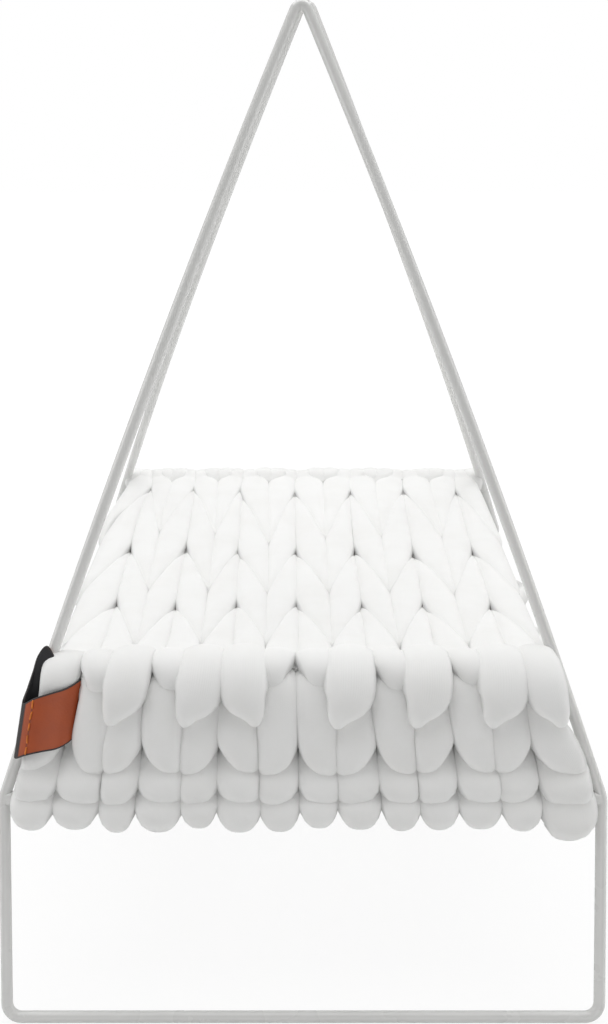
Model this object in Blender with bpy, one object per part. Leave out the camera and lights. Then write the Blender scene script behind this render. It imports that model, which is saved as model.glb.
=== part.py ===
"""A free-standing cat bed: a knitted hammock slung in an A-shaped frame of bent steel rod.

Two equal rod loops, each a tall house shape, lean together and are welded at the top.
Each loop has a bed bar and, lower down, a hem bar. Two side rails join the loops at bed
height. The knit is drawn over the bed bars and hangs down both ends to the hem bars.
A folded leather label sits round the front left corner.

Metres, +Z up, the front faces -Y. The origin is on the floor, under the middle.
"""

import math

import bmesh
import bpy
import numpy as np

# Frame: one loop, measured in its own leaning plane, upwards from the floor bar's centre
ROD = 0.011                 # rod diameter
LEAN = math.radians(23.6)   # each loop leans this far from upright
MEET_UP = 0.992             # where the centre lines of the two slanted rods would meet
BEND_UP = 0.213             # the bend between leg and slanted rod
BEND_HALF = 0.2895          # half the width at the bends
FOOT_IN = 0.0025            # how far the legs lean inwards, from the bends to the floor
ROD_BOW = 0.0085            # how far the slanted rods spring outwards in the middle
FOOT_RADIUS = 0.014         # centre line radius of the floor corners
BEND_RADIUS = 0.030         # centre line radius of the side bends
APEX_RADIUS = 0.007         # centre line radius of the top bend
TOP_SHIFT = 0.0016          # each top stands to one side: front to the left, back to the right
BED_BAR_UP = 0.320          # the upper bar, which carries the bed
HEM_BAR_UP = 0.212          # the lower bar, which holds the knit's hem
RAIL_HALF = 0.222           # half the distance between the side rails
WELD_THICK = 0.0018         # how far a weld bead stands off the bar
WELD_REACH = 0.0045         # how far a weld bead runs along the bar
CROSS_WELD = (0.0072, 0.0072, 0.0040)  # half sizes of the weld between a bed bar and a rail
TOP_WELD = (0.0064, 0.0034, 0.0032)    # half sizes of the weld between the two tops
GAP = 0.0003                # between pieces that touch
SIDES = 16                  # facets round a rod

# Knit
BED_THICK = 0.040           # the knit as it lies in the bed
BED_TOP = 0.014             # bed surface above the bed bars' centres, beside the bars
BED_SAG = 0.009             # how much lower the middle of the bed lies
BED_OVERHANG = 0.0265       # the bed's edge beyond the side rails' centres
BED_SLICES = 9              # flat strips along the bed, an odd number
DROP_FRONT = 0.024          # the hanging knit in front of the loop's plane
DROP_BACK = 0.012           # and behind it
FOLD_RADIUS = 0.032         # the knit's roll over the bed bar
HEM_RADIUS = 0.031          # and under the hem bar
HOLE_CLEAR = 0.0005         # round a bar that runs through the knit

# Leather label
LEATHER = 0.0016            # outer layer
LINING = 0.0010             # inner layer
LABEL_CLEAR = 0.0012        # between the label and the knit it passes through
LABEL_LEAN = 0.15           # sideways run of the label per unit of its height
LABEL_STEPS = 48            # points round the label
STITCH_COUNT = 5
STITCH_LENGTH = 0.0055
STITCH_RADIUS = 0.0006
STITCH_INSET = 0.013        # from the seam's edge to the stitches

# The label's line round the strand, from its seam across the front and back behind, in
# millimetres from the corner where the bed bar meets the rod: to the right, forwards from
# the weld beads, and up the loop's plane to its lower and its upper edge
LABEL_OUTLINE = (
    (-16.6, 14.2, -64.5, -11.5),
    (-3.6, 21.7, -60.0, -5.0),
    (11.4, 23.2, -57.0, 0.0),
    (25.4, 20.2, -55.0, 4.0),
    (34.9, 13.2, -54.0, 7.0),
    (36.4, 5.2, -50.0, 10.0),
    (29.4, 1.6, -40.0, 20.0),
    (16.4, 1.4, -25.0, 34.0),
    (4.6, 1.6, -15.0, 41.8),
    (-4.6, 3.0, -23.0, 32.0),
    (-9.1, 5.4, -37.0, 16.8),
    (-13.4, 8.7, -51.0, 1.9),
)

RADIUS = ROD / 2
FOOT_HALF = BEND_HALF - FOOT_IN
COS, SIN = math.cos(LEAN), math.sin(LEAN)
BAR_Z = RADIUS * math.cos(math.pi / SIDES)  # the floor bar stands on a flat facet
FRONT, BACK = -1, 1
ENDS = ((FRONT, "front"), (BACK, "back"))
SIDEWAYS = ((-1, "left"), (1, "right"))


def side_half(up):
    """Half the loop's width between rod centre lines, at a height in its plane."""
    if up < BEND_UP:
        return FOOT_HALF + (BEND_HALF - FOOT_HALF) * up / BEND_UP
    t = (up - BEND_UP) / (MEET_UP - BEND_UP)
    return BEND_HALF * (1 - t) + 4 * ROD_BOW * t * (1 - t)


def top_slope():
    """Sideways run per unit of height of a slanted rod where it reaches the top bend."""
    return (BEND_HALF / 2 + 2 * ROD_BOW) / ((MEET_UP - BEND_UP) / 2)


APEX_UP = MEET_UP - APEX_RADIUS * (1 / math.sin(math.atan(top_slope())) - 1)
FOOT_Y = APEX_UP * SIN + RADIUS + GAP / 2


def on_loop(x, up, out, end):
    """World place of a point in a loop's plane: sideways, up the plane, out from it."""
    return (
        x + end * TOP_SHIFT * up / APEX_UP,
        end * (FOOT_Y - up * SIN + out * COS),
        BAR_Z + up * COS + out * SIN,
    )


def material(name, colour, roughness, metallic=0.0):
    made = bpy.data.materials.new(name)
    made.use_nodes = True
    shader = made.node_tree.nodes["Principled BSDF"]
    shader.inputs["Base Color"].default_value = (*colour, 1.0)
    shader.inputs["Roughness"].default_value = roughness
    shader.inputs["Metallic"].default_value = metallic
    return made


def add_mesh(name, points, faces, paint=None):
    """A new object from points and faces, with its faces turned outwards.

    End caps are split into triangles, as the knit's are not flat.
    """
    mesh = bpy.data.meshes.new(name)
    mesh.from_pydata([tuple(float(c) for c in p) for p in points], [], faces)
    work = bmesh.new()
    work.from_mesh(mesh)
    bmesh.ops.triangulate(work, faces=[face for face in work.faces if len(face.verts) > 4])
    bmesh.ops.recalc_face_normals(work, faces=work.faces)
    if work.calc_volume(signed=True) < 0:
        bmesh.ops.reverse_faces(work, faces=work.faces)
    work.to_mesh(mesh)
    work.free()
    mesh.shade_smooth()
    mesh.set_sharp_from_angle(angle=math.radians(40))
    made = bpy.data.objects.new(name, mesh)
    bpy.context.scene.collection.objects.link(made)
    if paint:
        mesh.materials.append(paint)
    return made


def as_cutter(made):
    made.hide_render = True
    made.display_type = "WIRE"
    return made


def cut(piece, cutter):
    """Takes the cutter's shape out of the piece."""
    boolean = piece.modifiers.new("cut_" + cutter.name, "BOOLEAN")
    boolean.operation = "DIFFERENCE"
    boolean.solver = "EXACT"
    boolean.object = cutter


def fillet(corner, way_in, way_out, radius, steps):
    """Points on the arc that rounds a left turn at a corner of a flat path."""
    corner, way_in, way_out = (np.array(v, float) for v in (corner, way_in, way_out))
    way_in, way_out = way_in / np.linalg.norm(way_in), way_out / np.linalg.norm(way_out)
    turn = math.acos(float(np.clip(way_in @ way_out, -1, 1)))
    start = corner - way_in * radius * math.tan(turn / 2)
    left = np.array([-way_in[1], way_in[0]])
    angles = np.linspace(0, turn, steps)[:, None]
    return start + radius * (np.sin(angles) * way_in + (1 - np.cos(angles)) * left)


def loop_path():
    """The loop's closed centre line in its own plane, anticlockwise from the left foot."""
    foot, bend, top = (
        np.array([FOOT_HALF, 0.0]),
        np.array([BEND_HALF, BEND_UP]),
        np.array([0.0, MEET_UP]),
    )
    control = (bend + top) / 2 + np.array([2 * ROD_BOW, 0.0])
    flip = np.array([-1.0, 1.0])
    ups = np.linspace(BEND_UP, MEET_UP, 14)[1:-1]
    rod = np.array([[side_half(u), u] for u in ups])
    return np.concatenate([
        fillet(foot * flip, (foot - bend) * flip, (1, 0), FOOT_RADIUS, 7),
        fillet(foot, (1, 0), bend - foot, FOOT_RADIUS, 7),
        fillet(bend, bend - foot, control - bend, BEND_RADIUS, 4),
        rod,
        fillet(top, top - control, (control - top) * flip, APEX_RADIUS, 9),
        (rod * flip)[::-1],
        fillet(bend * flip, (bend - control) * flip, (foot - bend) * flip, BEND_RADIUS, 4),
    ])


def loop_tube(radius, end):
    """The loop's rod: rings on the mitre planes of its centre line, one facet facing down."""
    path = loop_path()
    steps = np.roll(path, -1, axis=0) - path
    steps /= np.linalg.norm(steps, axis=1)[:, None]
    before = np.roll(steps, 1, axis=0)
    along = steps + before
    along /= np.linalg.norm(along, axis=1)[:, None]
    stretch = 1 / (along * steps).sum(1)
    outward = np.stack([along[:, 1], -along[:, 0]], axis=1) * stretch[:, None]
    angles = math.pi / SIDES - LEAN + np.arange(SIDES) * 2 * math.pi / SIDES
    points = [
        on_loop(
            p[0] + radius * math.cos(a) * o[0],
            p[1] + radius * math.cos(a) * o[1],
            radius * math.sin(a),
            end,
        )
        for p, o in zip(path, outward, strict=True)
        for a in angles
    ]
    return points, ring_faces(len(path), SIDES, closed=True)


def ring_faces(rings, sides, closed):
    """Quads between rings of points, with end caps where the run is open."""
    faces = []
    for i in range(rings if closed else rings - 1):
        j = (i + 1) % rings
        for k in range(sides):
            m = (k + 1) % sides
            faces.append([i * sides + k, i * sides + m, j * sides + m, j * sides + k])
    if not closed:
        faces.append(list(range(sides))[::-1])
        faces.append([(rings - 1) * sides + k for k in range(sides)])
    return faces


def turned(start, axis, across, profile, closed=False):
    """A shape turned about an axis; the profile lists (distance along, radius)."""
    start, axis, across = (np.array(v, float) for v in (start, axis, across))
    third = np.cross(axis, across)
    angles = math.pi / SIDES - LEAN + np.arange(SIDES) * 2 * math.pi / SIDES
    points = [
        start + axis * far + radius * (math.cos(a) * across + math.sin(a) * third)
        for far, radius in profile
        for a in angles
    ]
    return points, ring_faces(len(profile), SIDES, closed)


def weld_bead(start, axis, across):
    """A bead round the end of a bar: a ring that tapers away from the rod it meets."""
    inner = RADIUS + 1.5 * GAP
    profile = [
        (RADIUS * 0.4, inner),
        (RADIUS * 0.4, RADIUS + WELD_THICK),
        (RADIUS + WELD_REACH * 0.4, RADIUS + WELD_THICK * 0.8),
        (RADIUS + WELD_REACH, inner + WELD_THICK * 0.2),
        (RADIUS + WELD_REACH, inner),
    ]
    return turned(start, axis, across, profile, closed=True)


def rod_solid(start, far, axis, across, radius):
    return turned(start, axis, across, [(0.0, radius), (far, radius)])


def bar_parts(up, end, radius=RADIUS):
    """A cross bar between the two slanted rods of a loop."""
    half = side_half(up)
    start = on_loop(-half, up, 0.0, end)
    return rod_solid(start, 2 * half, (1, 0, 0), (0, end * SIN, -COS), radius)


def bar_bead(up, end, side):
    start = on_loop(side * side_half(up), up, 0.0, end)
    return weld_bead(start, (-side, 0, 0), (0, end * SIN, -COS))


def rail_parts(side, radius=RADIUS, extra=0.0):
    """A side rail: it lies under both bed bars and ends just beyond them."""
    _, y, z = on_loop(0.0, BED_BAR_UP, 0.0, FRONT)
    reach = RADIUS + extra - y
    start = (side * RAIL_HALF, -reach, z - ROD - GAP)
    return rod_solid(start, 2 * reach, (0, 1, 0), (1, 0, 0), radius)


def weld_lump(centre, size):
    """A rounded lump, to be cut where rods pass through it."""
    rows, columns = 8, 16
    centre, size = np.array(centre), np.array(size)
    points = [centre - size * (0, 0, 1)]
    for i in range(1, rows):
        down = math.pi * i / rows
        for k in range(columns):
            a = 2 * math.pi * k / columns
            spot = (math.sin(down) * math.cos(a), math.sin(down) * math.sin(a), -math.cos(down))
            points.append(centre + size * spot)
    points.append(centre + size * (0, 0, 1))
    faces = [
        [1 + i * columns + k for i, k in ((r, c), (r, d), (r + 1, d), (r + 1, c))]
        for r in range(rows - 2)
        for c in range(columns)
        for d in [(c + 1) % columns]
    ]
    last = 1 + (rows - 2) * columns
    faces += [[0, 1 + (c + 1) % columns, 1 + c] for c in range(columns)]
    faces += [[len(points) - 1, last + c, last + (c + 1) % columns] for c in range(columns)]
    return points, faces


def cross_weld(end, side, extra=0.0):
    """The weld where a side rail passes under a bed bar."""
    _, y, z = on_loop(0.0, BED_BAR_UP, 0.0, end)
    centre = (side * RAIL_HALF, y, z - RADIUS - GAP / 2)
    return weld_lump(centre, [half + extra for half in CROSS_WELD])


def make_frame(paint):
    """Loops, bars, rails and the weld beads between them."""
    sleeves, bar_sleeves = {}, {}
    for end, word in ENDS:
        add_mesh(f"{word}_loop", *loop_tube(RADIUS, end), paint)
        sleeves[end] = as_cutter(add_mesh(f"{word}_sleeve", *loop_tube(RADIUS + GAP, end)))
        sleeve = bar_parts(BED_BAR_UP, end, RADIUS + GAP)
        bar_sleeves[end] = as_cutter(add_mesh(f"{word}_bar_sleeve", *sleeve))
    for end, word in ENDS:
        for bar, up in (("bed_bar", BED_BAR_UP), ("hem_bar", HEM_BAR_UP)):
            piece = add_mesh(f"{word}_{bar}", *bar_parts(up, end), paint)
            cut(piece, sleeves[end])
            for side, hand in SIDEWAYS:
                bead = add_mesh(f"weld_{word}_{bar}_{hand}", *bar_bead(up, end, side), paint)
                cut(bead, sleeves[end])
    for side, hand in SIDEWAYS:
        add_mesh(f"{hand}_side_rail", *rail_parts(side), paint)
        sleeve = add_mesh(f"{hand}_rail_sleeve", *rail_parts(side, RADIUS + GAP, GAP))
        as_cutter(sleeve)
        for end, word in ENDS:
            weld = add_mesh(f"weld_{word}_rail_{hand}", *cross_weld(end, side), paint)
            cut(weld, bar_sleeves[end])
            cut(weld, sleeve)
    lump = weld_lump((0.0, 0.0, BAR_Z + APEX_UP * COS + 0.65 * RADIUS), TOP_WELD)
    top = add_mesh("weld_apex", *lump, paint)
    for end in (FRONT, BACK):
        cut(top, sleeves[end])


def roll(centre_up, radius, start, stop, steps):
    """Arc of the hanging knit's side view round a bar: (up, out) points."""
    angles = np.linspace(math.radians(start), math.radians(stop), steps)
    return [
        (
            centre_up + radius * math.sin(a),
            min(max(radius * math.cos(a), -DROP_BACK), DROP_FRONT),
        )
        for a in angles
    ]


def drop_outline():
    """Side view of the hanging knit, from the hem up the front, over and down the back."""
    outline = roll(HEM_BAR_UP, HEM_RADIUS, -40, 0, 3)
    outline += [(up, DROP_FRONT) for up in np.linspace(HEM_BAR_UP, BED_BAR_UP, 5)[1:-1]]
    outline += roll(BED_BAR_UP, FOLD_RADIUS, 0, 112, 6)
    outline += [(up, -DROP_BACK) for up in np.linspace(BED_BAR_UP, HEM_BAR_UP, 4)]
    outline += roll(HEM_BAR_UP, HEM_RADIUS, -112, -65, 3)
    return outline


def drop_half(up):
    """Half the hanging knit's width: it stays clear of the rods and of the bars' beads."""
    slope = (side_half(BED_BAR_UP - ROD) - side_half(BED_BAR_UP)) / ROD + TOP_SHIFT / APEX_UP
    bead = RADIUS + WELD_REACH + (RADIUS + WELD_THICK) * slope
    return side_half(up) - bead - HOLE_CLEAR


def make_drop(name, end, paint):
    """The knit that hangs in a loop, from the fold over the bed bar to the hem."""
    outline = drop_outline()
    points = []
    for side in (-1, 1):
        for up, out in outline:
            points.append(on_loop(side * drop_half(up), up, out, end))
    count = len(outline)
    faces = ring_faces(2, count, closed=False)
    drop = add_mesh(name, points, faces, paint)
    for word, up in (("bed", BED_BAR_UP), ("hem", HEM_BAR_UP)):
        hole = bar_parts(up, end, RADIUS + HOLE_CLEAR)
        cut(drop, as_cutter(add_mesh(f"{name}_{word}_hole", *hole)))
    for side, hand in SIDEWAYS:
        hole = rail_parts(side, RADIUS + HOLE_CLEAR, HOLE_CLEAR)
        cut(drop, as_cutter(add_mesh(f"{name}_{hand}_rail_hole", *hole)))
        room = cross_weld(end, side, HOLE_CLEAR)
        cut(drop, as_cutter(add_mesh(f"{name}_{hand}_weld_room", *room)))
    return drop


def bed_surface(share):
    """Height of the bed's top over the floor; share runs from -1 at the front to 1."""
    bar_z = BAR_Z + BED_BAR_UP * COS
    return bar_z + BED_TOP - BED_SAG * (1 - share * share)


def make_bed(paint):
    """The knit that lies between the bars, round the two side rails."""
    half_wide = RAIL_HALF + BED_OVERHANG
    shares = np.linspace(-1, 1, BED_SLICES + 1)
    behind = DROP_BACK + GAP * 2

    def edge_y(z):
        """Where the bed meets the back of the hanging knit, at a height."""
        up_there = (z - BAR_Z + behind * SIN) / COS
        return FOOT_Y - up_there * SIN - behind * COS

    top, bottom = [], []
    for share in shares:
        z = bed_surface(share)
        top.append((share * edge_y(z), z))
        bottom.append((share * edge_y(z - BED_THICK), z - BED_THICK))
    outline = top + bottom[::-1]
    points = [(side * half_wide, y, z) for side in (-1, 1) for y, z in outline]
    bed = add_mesh("knit_bed", points, ring_faces(2, len(outline), closed=False), paint)
    for side, hand in SIDEWAYS:
        hole = rail_parts(side, RADIUS + HOLE_CLEAR, ROD)
        cut(bed, as_cutter(add_mesh(f"bed_{hand}_hole", *hole)))
    return bed


def label_line():
    """The label's outline as a smooth closed curve through its points, evenly in count."""
    corner = (-side_half(BED_BAR_UP), RADIUS + WELD_THICK, BED_BAR_UP, BED_BAR_UP)
    knots = np.array(corner) + np.array(LABEL_OUTLINE) * 0.001
    at = np.arange(LABEL_STEPS) * len(knots) / LABEL_STEPS
    i = at.astype(int)
    t = (at - i)[:, None]
    a, b, c, d = (knots[(i + k) % len(knots)] for k in (-1, 0, 1, 2))
    return b + t / 2 * ((c - a) + t * (2 * a - 5 * b + 4 * c - d + t * (3 * (b - c) + d - a)))


def label_inward(line):
    """Unit directions from the label's outline to its inside."""
    steps = np.roll(line[:, :2], -1, axis=0) - np.roll(line[:, :2], 1, axis=0)
    steps /= np.linalg.norm(steps, axis=1)[:, None]
    return np.stack([steps[:, 1], -steps[:, 0]], axis=1)


def label_band(inner, outer, extra=0.0):
    """A band of the label between two depths below its outside, and that much taller."""
    line = label_line()
    inward = label_inward(line)
    middle = (line[:, 2] + line[:, 3]) / 2
    points = []
    for depth, low in ((outer, True), (outer, False), (inner, False), (inner, True)):
        flat = line[:, :2] + inward * depth
        ups = line[:, 2] - extra if low else line[:, 3] + extra
        xs = flat[:, 0] + LABEL_LEAN * (ups - middle)
        points += [
            on_loop(x, up, out, FRONT) for x, up, out in zip(xs, ups, flat[:, 1], strict=True)
        ]
    order = np.arange(4 * LABEL_STEPS).reshape(4, LABEL_STEPS).T.ravel()
    points = [points[k] for k in order]
    return points, ring_faces(LABEL_STEPS, 4, closed=True)


def stitch_solid(low, high):
    """One short stitch: a rounded six-sided thread between two points."""
    low, high = np.array(low), np.array(high)
    along = (high - low) / np.linalg.norm(high - low)
    across = np.array([0.0, -COS, SIN])
    third = np.cross(along, across)
    profile = ((0.0, 0.4), (0.15, 1.0), (0.85, 1.0), (1.0, 0.4))
    points = [
        low + (high - low) * far
        + STITCH_RADIUS * wide * (math.cos(a) * across + math.sin(a) * third)
        for far, wide in profile
        for a in np.arange(6) * math.pi / 3
    ]
    return points, ring_faces(len(profile), 6, closed=False)


def make_label(knit_pieces, paints):
    """The folded leather label, its lining and its stitches, and the slot it takes."""
    add_mesh("label_leather", *label_band(LEATHER, 0.0), paints["leather"])
    lining_out = LEATHER + GAP
    add_mesh("label_lining", *label_band(lining_out + LINING, lining_out), paints["lining"])
    depth = lining_out + LINING + LABEL_CLEAR
    room = as_cutter(add_mesh("label_room", *label_band(depth, -LABEL_CLEAR, LABEL_CLEAR)))
    for piece in knit_pieces:
        cut(piece, room)
    line = label_line()
    steps = np.linalg.norm(np.diff(line[:, :2], axis=0), axis=1)
    at = int(np.searchsorted(np.cumsum(steps), STITCH_INSET)) + 1
    x, out = line[at, :2] - label_inward(line)[at] * (GAP + STITCH_RADIUS)
    low, high = line[at, 2:]
    pitch = (high - low) / STITCH_COUNT
    for i in range(STITCH_COUNT):
        middle = low + pitch * (i + 0.5)
        ends = [
            on_loop(x + LABEL_LEAN * (up - (low + high) / 2), up, out, FRONT)
            for up in (middle - STITCH_LENGTH / 2, middle + STITCH_LENGTH / 2)
        ]
        add_mesh(f"label_stitch_{i + 1}", *stitch_solid(*ends), paints["thread"])


def main():
    for old in list(bpy.data.objects):
        bpy.data.objects.remove(old)
    white = material("white_powder_coat", (0.84, 0.84, 0.83), 0.38)
    cotton = material("white_cotton_knit", (0.88, 0.88, 0.87), 0.92)
    paints = {
        "leather": material("brown_leather", (0.36, 0.12, 0.045), 0.48),
        "lining": material("black_lining", (0.02, 0.02, 0.022), 0.70),
        "thread": material("orange_thread", (0.62, 0.24, 0.05), 0.60),
    }
    make_frame(white)
    front_drop = make_drop("knit_front_drop", FRONT, cotton)
    make_drop("knit_back_drop", BACK, cotton)
    bed = make_bed(cotton)
    make_label((front_drop, bed), paints)


main()
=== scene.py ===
"""Looks of a free-standing cat bed: a chunky knitted hammock in an A-shaped rod frame.

Laid out as an add-on. Each operator makes one group of pieces, and the panel lists them.
Metres, +Z up, the front faces -Y, the origin is on the floor under the middle.
"""

import math

import bpy
import numpy as np
from bpy.props import FloatProperty, FloatVectorProperty, IntProperty, PointerProperty
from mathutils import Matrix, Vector


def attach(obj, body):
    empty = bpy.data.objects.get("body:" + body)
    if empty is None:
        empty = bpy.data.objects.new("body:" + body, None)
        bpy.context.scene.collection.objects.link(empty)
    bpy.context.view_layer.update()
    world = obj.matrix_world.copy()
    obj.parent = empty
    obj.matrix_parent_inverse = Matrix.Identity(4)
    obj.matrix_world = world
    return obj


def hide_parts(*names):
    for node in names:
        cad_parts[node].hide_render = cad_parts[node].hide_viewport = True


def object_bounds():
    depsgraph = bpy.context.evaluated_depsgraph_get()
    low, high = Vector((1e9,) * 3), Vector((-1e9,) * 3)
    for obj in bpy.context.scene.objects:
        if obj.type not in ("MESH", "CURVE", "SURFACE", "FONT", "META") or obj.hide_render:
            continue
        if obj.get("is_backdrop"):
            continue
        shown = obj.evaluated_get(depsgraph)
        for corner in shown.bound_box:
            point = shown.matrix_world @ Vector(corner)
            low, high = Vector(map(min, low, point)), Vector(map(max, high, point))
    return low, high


bl_info = {
    "name": "Knitted Cat Hammock",
    "version": (1, 0, 0),
    "blender": (4, 5, 0),
    "location": "3D View > Sidebar > Cat Bed",
    "description": "Builds a chunky knitted cat hammock round its steel rod frame",
    "category": "Add Mesh",
}

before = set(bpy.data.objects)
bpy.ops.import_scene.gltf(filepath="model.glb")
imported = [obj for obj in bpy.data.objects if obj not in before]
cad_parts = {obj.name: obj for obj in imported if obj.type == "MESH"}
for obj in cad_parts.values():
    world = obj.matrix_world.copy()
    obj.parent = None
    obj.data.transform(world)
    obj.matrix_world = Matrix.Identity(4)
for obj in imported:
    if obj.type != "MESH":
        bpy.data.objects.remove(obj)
CAD_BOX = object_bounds()

# Frame, measured up and out from each loop's leaning plane
ROD_RADIUS = 0.0055
LEAN = math.radians(23.6)
MEET_UP = 0.992
BEND_UP = 0.213
BEND_HALF = 0.2895
FOOT_HALF = 0.2870
ROD_BOW = 0.0085
FOOT_RADIUS = 0.014
BEND_RADIUS = 0.030
APEX_RADIUS = 0.007
TOP_SHIFT = 0.0016
BED_BAR_UP = 0.320
GAP = 0.0003
FRONT, BACK = -1, 1
COS, SIN = math.cos(LEAN), math.sin(LEAN)
# The CAD's rod has this many flat sides, and stands on one of them
CAD_SIDES = 16
BAR_Z = ROD_RADIUS * math.cos(math.pi / CAD_SIDES)


# Shapes of the frame


def side_half(up):
    """Half the loop's width at a height: straight legs, then a slanted, bowed rod."""
    up = np.asarray(up, float)
    t = (up - BEND_UP) / (MEET_UP - BEND_UP)
    slanted = BEND_HALF * (1 - t) + 4 * ROD_BOW * t * (1 - t)
    leg = FOOT_HALF + (BEND_HALF - FOOT_HALF) * up / BEND_UP
    return np.where(up < BEND_UP, leg, slanted)


TOP_SLOPE = (BEND_HALF / 2 + 2 * ROD_BOW) / ((MEET_UP - BEND_UP) / 2)
APEX_UP = MEET_UP - APEX_RADIUS * (1 / math.sin(math.atan(TOP_SLOPE)) - 1)
FOOT_Y = APEX_UP * SIN + ROD_RADIUS + GAP / 2


def on_loop(x, up, out, end):
    """World points for places in a loop's plane: sideways, up the plane, out from it."""
    x, up, out = np.broadcast_arrays(*(np.asarray(v, float) for v in (x, up, out)))
    shifted = x + end * TOP_SHIFT * up / APEX_UP
    y = end * (FOOT_Y - up * SIN + out * COS)
    return np.stack([shifted, y, BAR_Z + up * COS + out * SIN], axis=-1)


def normalized(vectors):
    """Vectors divided by their lengths."""
    return vectors / np.linalg.norm(vectors, axis=-1, keepdims=True)


def fillet(corner, way_in, way_out, radius, steps):
    """Arc that rounds a left turn: start plus radius times (sin a, 1 - cos a)."""
    corner, way_in, way_out = (np.array(v, float) for v in (corner, way_in, way_out))
    way_in, way_out = normalized(way_in), normalized(way_out)
    turn = math.acos(float(np.clip(way_in @ way_out, -1, 1)))
    start = corner - way_in * radius * math.tan(turn / 2)
    left = np.array([-way_in[1], way_in[0]])
    angles = np.linspace(0, turn, steps)[:, None]
    return start + radius * (np.sin(angles) * way_in + (1 - np.cos(angles)) * left)


def loop_path():
    """The rod's closed centre line in its plane: corners joined by fillets, as bent."""
    foot, bend, top = np.array([(FOOT_HALF, 0.0), (BEND_HALF, BEND_UP), (0.0, MEET_UP)])
    control = (bend + top) / 2 + np.array([2 * ROD_BOW, 0.0])
    flip = np.array([-1.0, 1.0])
    ups = np.linspace(BEND_UP, MEET_UP, 40)[2:-2]
    rod = np.stack([side_half(ups), ups], axis=1)
    return np.concatenate([
        fillet(foot * flip, (foot - bend) * flip, (1, 0), FOOT_RADIUS, steps=11),
        fillet(foot, (1, 0), bend - foot, FOOT_RADIUS, steps=11),
        fillet(bend, bend - foot, control - bend, BEND_RADIUS, steps=8),
        rod,
        fillet(top, top - control, (control - top) * flip, APEX_RADIUS, steps=17),
        (rod * flip)[::-1],
        fillet(bend * flip, (bend - control) * flip, (foot - bend) * flip, BEND_RADIUS, steps=8),
    ])


# Meshes from grids of points


def grid_faces(rows, columns, wrap_rows):
    """Quads of a grid whose columns close round; the rows close too if asked."""
    row = np.arange(rows if wrap_rows else rows - 1)[:, None]
    column = np.arange(columns)[None, :]
    after, beside = (row + 1) % rows, (column + 1) % columns
    corners = [row * columns + column, after * columns + column]
    corners += [after * columns + beside, row * columns + beside]
    return np.stack([np.broadcast_to(c, (len(row), columns)) for c in corners], -1).reshape(-1, 4)


def mesh_object(name, points, faces, uvs=None, masks=None):
    """A smooth shaded object from arrays of points and faces, with UVs and masks by point."""
    mesh = bpy.data.meshes.new(name)
    mesh.from_pydata(points.tolist(), [], [list(f) for f in faces])
    mesh.shade_smooth()
    corners = np.empty(len(mesh.loops), dtype=np.int32)
    mesh.loops.foreach_get("vertex_index", corners)
    if uvs is not None:
        layer = mesh.uv_layers.new(name="UVMap")
        layer.data.foreach_set("uv", uvs[corners].astype(np.float32).ravel())
    for key, values in (masks or {}).items():
        attribute = mesh.attributes.new(key, "FLOAT", "POINT")
        attribute.data.foreach_set("value", np.asarray(values, np.float32))
    if not np.isfinite(points).all() or mesh.validate():
        raise RuntimeError(f"{name} has broken faces")
    made = bpy.data.objects.new(name, mesh)
    bpy.context.scene.collection.objects.link(made)
    return made


def grids_object(name, grids, wrap_rows=False, uvs=None, masks=None):
    """One object from several grids of rings, each capped at both ends unless it wraps."""
    points, faces, start = [], [], 0
    for grid in grids:
        rows, columns = grid.shape[:2]
        points.append(grid.reshape(-1, 3))
        faces += (grid_faces(rows, columns, wrap_rows) + start).tolist()
        if not wrap_rows:
            faces.append(list(range(start, start + columns)))
            last = start + (rows - 1) * columns
            faces.append(list(range(last, last + columns))[::-1])
        start += rows * columns
    return mesh_object(name, np.concatenate(points), faces, uvs, masks)


def tube(path, across, half_wide, half_deep, sides, power=2.0, closed=False):
    """Rings of a flattened tube; its wide side lies along the across directions.

    A ring point is path + across * w * sgn(cos a) |cos a|^(2/power)
    + outward * d * sgn(sin a) |sin a|^(2/power).
    """
    if closed:
        along = np.roll(path, -1, axis=0) - np.roll(path, 1, axis=0)
    else:
        along = np.gradient(path, axis=0)
    along = normalized(along)
    across = normalized(across - along * np.sum(across * along, axis=1, keepdims=True))
    outward = np.cross(across, along)
    angles = np.arange(sides) * 2 * math.pi / sides
    wide, deep = (np.sign(c) * np.abs(c) ** (2 / power) for c in (np.cos(angles), np.sin(angles)))
    half_wide = np.broadcast_to(half_wide, len(path))[:, None]
    half_deep = np.broadcast_to(half_deep, len(path))[:, None]
    return (
        path[:, None, :]
        + (half_wide * wide)[..., None] * across[:, None, :]
        + (half_deep * deep)[..., None] * outward[:, None, :]
    )


def bspline(controls, per_span):
    """Uniform cubic B-spline: each point is a weighted mean of four control rows in turn."""
    t = (np.arange(per_span) / per_span)[:, None]
    basis = (1 - t) ** 3, 3 * t**3 - 6 * t**2 + 4, -3 * t**3 + 3 * t**2 + 3 * t + 1, t**3
    spans = [controls[k : len(controls) - 3 + k][:, None, :] for k in range(4)]
    return sum(b[None] * s for b, s in zip(basis, spans)).reshape(-1, controls.shape[1]) / 6


def through(knots, per_span, closed=False):
    """Catmull-Rom curve: cubics through the knots, along half the way between neighbours."""
    if closed:
        padded = np.concatenate([knots[-1:], knots, knots[:2]])
    else:
        padded = np.concatenate([2 * knots[:1] - knots[1:2], knots, 2 * knots[-1:] - knots[-2:-1]])
    t = (np.arange(per_span) / per_span)[:, None]
    a, b, c, d = (padded[k : len(padded) - 3 + k][:, None, :] for k in range(4))
    curve = b + t / 2 * ((c - a) + t * (2 * a - 5 * b + 4 * c - d + t * (3 * (b - c) + d - a)))
    curve = curve.reshape(-1, knots.shape[1])
    return curve if closed else np.concatenate([curve, knots[-1:]])


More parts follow.
